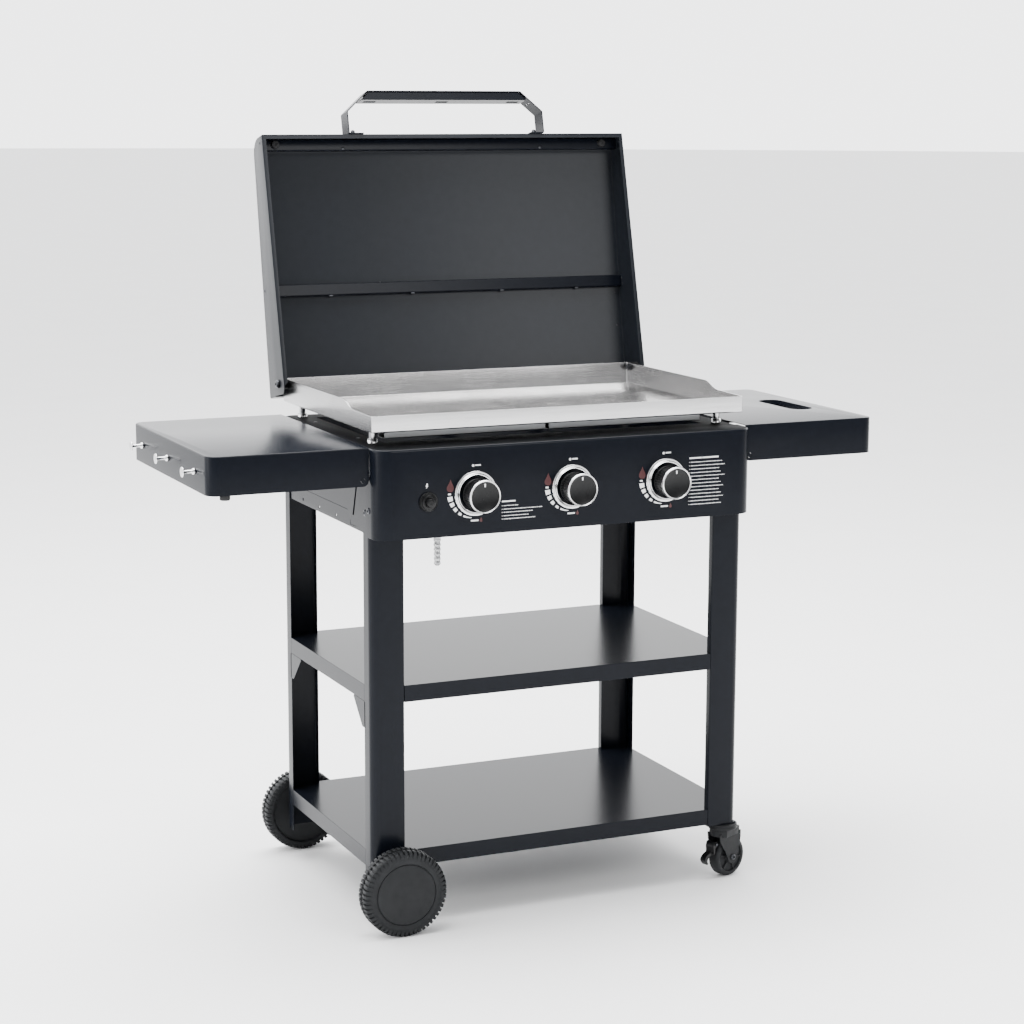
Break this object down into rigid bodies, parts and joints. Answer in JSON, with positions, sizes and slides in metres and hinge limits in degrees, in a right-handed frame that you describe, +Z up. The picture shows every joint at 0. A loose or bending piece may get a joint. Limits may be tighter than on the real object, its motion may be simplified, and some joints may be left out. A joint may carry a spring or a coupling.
{
  "type": "flat top griddle",
  "caption": "Flat top gas griddle with open lid, side shelves, control panel and a shelved cart on wheels and casters.",
  "frame": {"origin": "on the floor under the centre of the bounding box, lid open", "axes": "+Z up, +X to the cook's right (the caster end), -Y towards the cook, where the control panel faces"},
  "size_m": [1.2984, 0.6526, 1.4376],
  "materials": {
    "leg_front_left": "satin black powder coat",
    "leg_rear_left": "satin black powder coat",
    "leg_front_right": "satin black powder coat",
    "leg_rear_right": "satin black powder coat",
    "middle_shelf": "satin black powder coat",
    "lower_shelf": "satin black powder coat",
    "firebox": "satin black powder coat",
    "control_panel": "satin black powder coat",
    "burner_1": "brushed stainless steel",
    "valve_1": "machined brass",
    "stem_1": "machined brass",
    "bezel_1": "polished chrome plate",
    "knob_1": "fine-grained black plastic",
    "burner_2": "brushed stainless steel",
    "valve_2": "machined brass",
    "stem_2": "machined brass",
    "bezel_2": "polished chrome plate",
    "knob_2": "fine-grained black plastic",
    "burner_3": "brushed stainless steel",
    "valve_3": "machined brass",
    "stem_3": "machined brass",
    "bezel_3": "polished chrome plate",
    "knob_3": "fine-grained black plastic",
    "manifold": "brushed stainless steel",
    "inlet": "brushed stainless steel",
    "igniter_housing": "fine-grained black plastic",
    "igniter_button": "fine-grained black plastic",
    "griddle": "brushed stainless steel",
    "griddle_post_front_left": "polished chrome plate",
    "griddle_post_front_right": "polished chrome plate",
    "griddle_post_rear_left": "polished chrome plate",
    "griddle_post_rear_right": "polished chrome plate",
    "lid": "satin black powder coat",
    "channel": "satin black powder coat",
    "rib": "satin black powder coat",
    "handle_bracket": "satin black powder coat",
    "handle_grip": "satin black powder coat",
    "bumper_left": "black rubber",
    "spacer_left": "fine-grained black plastic",
    "hinge_bolt_left": "satin black powder coat",
    "side_shelf_left": "satin black powder coat",
    "side_shelf_left_rod": "polished chrome plate",
    "bumper_right": "black rubber",
    "spacer_right": "fine-grained black plastic",
    "hinge_bolt_right": "satin black powder coat",
    "side_shelf_right": "satin black powder coat",
    "side_shelf_right_rod": "polished chrome plate",
    "hook_1": "polished chrome plate",
    "hook_2": "polished chrome plate",
    "hook_3": "polished chrome plate",
    "shelf_stop": "black rubber",
    "cart_wheel_front": "fine-grained black plastic",
    "fork_front": "fine-grained black plastic",
    "caster_wheel_front": "fine-grained black plastic",
    "brake_front": "fine-grained black plastic",
    "cart_wheel_rear": "fine-grained black plastic",
    "fork_rear": "fine-grained black plastic",
    "caster_wheel_rear": "fine-grained black plastic",
    "brake_rear": "fine-grained black plastic",
    "axle": "brushed stainless steel"
  },
  "bodies": {
    "cart": {"leg_front_left": "leg_front_left", "leg_rear_left": "leg_rear_left", "leg_front_right": "leg_front_right", "leg_rear_right": "leg_rear_right", "middle_shelf": "middle_shelf", "lower_shelf": "lower_shelf", "firebox": "firebox", "control_panel": "control_panel", "burner_tube_1": "burner_1", "gas_valve_1": "valve_1", "knob_bezel_1": "bezel_1", "burner_tube_2": "burner_2", "gas_valve_2": "valve_2", "knob_bezel_2": "bezel_2", "burner_tube_3": "burner_3", "gas_valve_3": "valve_3", "knob_bezel_3": "bezel_3", "gas_manifold": "manifold", "gas_inlet_barb": "inlet", "igniter_housing": "igniter_housing", "griddle_plate": "griddle", "griddle_post_front_left": "griddle_post_front_left", "griddle_post_front_right": "griddle_post_front_right", "griddle_post_rear_left": "griddle_post_rear_left", "griddle_post_rear_right": "griddle_post_rear_right", "hinge_spacer_left": "spacer_left", "hinge_bolt_left": "hinge_bolt_left", "shelf_hinge_rod_left": "side_shelf_left_rod", "hinge_spacer_right": "spacer_right", "hinge_bolt_right": "hinge_bolt_right", "shelf_hinge_rod_right": "side_shelf_right_rod", "wheel_axle": "axle"},
    "lid": {"lid_shell": "lid", "lid_front_channel": "channel", "lid_rib": "rib", "handle_bracket": "handle_bracket", "handle_grip": "handle_grip", "lid_bumper_left": "bumper_left", "lid_bumper_right": "bumper_right"},
    "shelf_left": {"side_shelf_left": "side_shelf_left", "tool_hook_1": "hook_1", "tool_hook_2": "hook_2", "tool_hook_3": "hook_3", "shelf_stop_left": "shelf_stop"},
    "shelf_right": {"side_shelf_right": "side_shelf_right"},
    "igniter": {"igniter_button": "igniter_button"},
    "wheel_front": {"cart_wheel_front": "cart_wheel_front"},
    "wheel_rear": {"cart_wheel_rear": "cart_wheel_rear"},
    "valve_push_1": {"valve_stem_1": "stem_1"},
    "knob_turn_1": {"knob_1": "knob_1"},
    "valve_push_2": {"valve_stem_2": "stem_2"},
    "knob_turn_2": {"knob_2": "knob_2"},
    "valve_push_3": {"valve_stem_3": "stem_3"},
    "knob_turn_3": {"knob_3": "knob_3"},
    "caster_front": {"caster_fork_front": "fork_front"},
    "caster_roll_front": {"caster_wheel_front": "caster_wheel_front"},
    "brake_front": {"brake_pedal_front": "brake_front"},
    "caster_rear": {"caster_fork_rear": "fork_rear"},
    "caster_roll_rear": {"caster_wheel_rear": "caster_wheel_rear"},
    "brake_rear": {"brake_pedal_rear": "brake_rear"}
  },
  "joints": [
    {"name": "lid_hinge", "type": "hinge", "parent": "cart", "child": "lid", "pos_m": [0.01615, 0.19667, 0.906], "axis": [1, 0, 0], "range_deg": [0, 103.6]},
    {"name": "valve_press_1", "type": "slide", "parent": "cart", "child": "valve_push_1", "axis": [0, 1, 0], "range_m": [0, 0.003], "stiffness_N_per_m": 900},
    {"name": "knob_spin_1", "type": "hinge", "parent": "valve_push_1", "child": "knob_turn_1", "pos_m": [-0.16585, -0.30133, 0.7645], "axis": [0, -1, 0], "range_deg": [0, 180]},
    {"name": "valve_press_2", "type": "slide", "parent": "cart", "child": "valve_push_2", "axis": [0, 1, 0], "range_m": [0, 0.003], "stiffness_N_per_m": 900},
    {"name": "knob_spin_2", "type": "hinge", "parent": "valve_push_2", "child": "knob_turn_2", "pos_m": [0.01615, -0.30133, 0.7645], "axis": [0, -1, 0], "range_deg": [0, 180]},
    {"name": "valve_press_3", "type": "slide", "parent": "cart", "child": "valve_push_3", "axis": [0, 1, 0], "range_m": [0, 0.003], "stiffness_N_per_m": 900},
    {"name": "knob_spin_3", "type": "hinge", "parent": "valve_push_3", "child": "knob_turn_3", "pos_m": [0.19815, -0.30133, 0.7645], "axis": [0, -1, 0], "range_deg": [0, 180]},
    {"name": "igniter_press", "type": "slide", "parent": "cart", "child": "igniter", "axis": [0, 1, 0], "range_m": [0, 0.005], "stiffness_N_per_m": 900},
    {"name": "shelf_fold_left", "type": "hinge", "parent": "cart", "child": "shelf_left", "pos_m": [-0.35535, -0.01633, 0.792], "axis": [0, -1, 0], "range_deg": [0, 88]},
    {"name": "shelf_fold_right", "type": "hinge", "parent": "cart", "child": "shelf_right", "pos_m": [0.38765, -0.01633, 0.792], "axis": [0, 1, 0], "range_deg": [0, 88]},
    {"name": "wheel_roll_front", "type": "hinge", "parent": "cart", "child": "wheel_front", "pos_m": [-0.30185, -0.28133, 0.0762], "axis": [0, 1, 0], "continuous": true},
    {"name": "caster_swivel_front", "type": "hinge", "parent": "cart", "child": "caster_front", "pos_m": [0.35615, -0.22833, 0.1], "axis": [0, 0, 1], "continuous": true},
    {"name": "caster_spin_front", "type": "hinge", "parent": "caster_front", "child": "caster_roll_front", "pos_m": [0.36756, -0.22462, 0.0375], "axis": [-0.309, 0.9511, 0], "continuous": true},
    {"name": "brake_press_front", "type": "hinge", "parent": "caster_front", "child": "brake_front", "pos_m": [0.33047, -0.23667, 0.068], "axis": [0.309, -0.9511, 0], "range_deg": [0, 15]},
    {"name": "wheel_roll_rear", "type": "hinge", "parent": "cart", "child": "wheel_rear", "pos_m": [-0.30185, 0.24867, 0.0762], "axis": [0, 1, 0], "continuous": true},
    {"name": "caster_swivel_rear", "type": "hinge", "parent": "cart", "child": "caster_rear", "pos_m": [0.35615, 0.19567, 0.1], "axis": [0, 0, 1], "continuous": true},
    {"name": "caster_spin_rear", "type": "hinge", "parent": "caster_rear", "child": "caster_roll_rear", "pos_m": [0.36756, 0.19938, 0.0375], "axis": [-0.309, 0.9511, 0], "continuous": true},
    {"name": "brake_press_rear", "type": "hinge", "parent": "caster_rear", "child": "brake_rear", "pos_m": [0.33047, 0.18733, 0.068], "axis": [0.309, -0.9511, 0], "range_deg": [0, 15]}
  ]
}
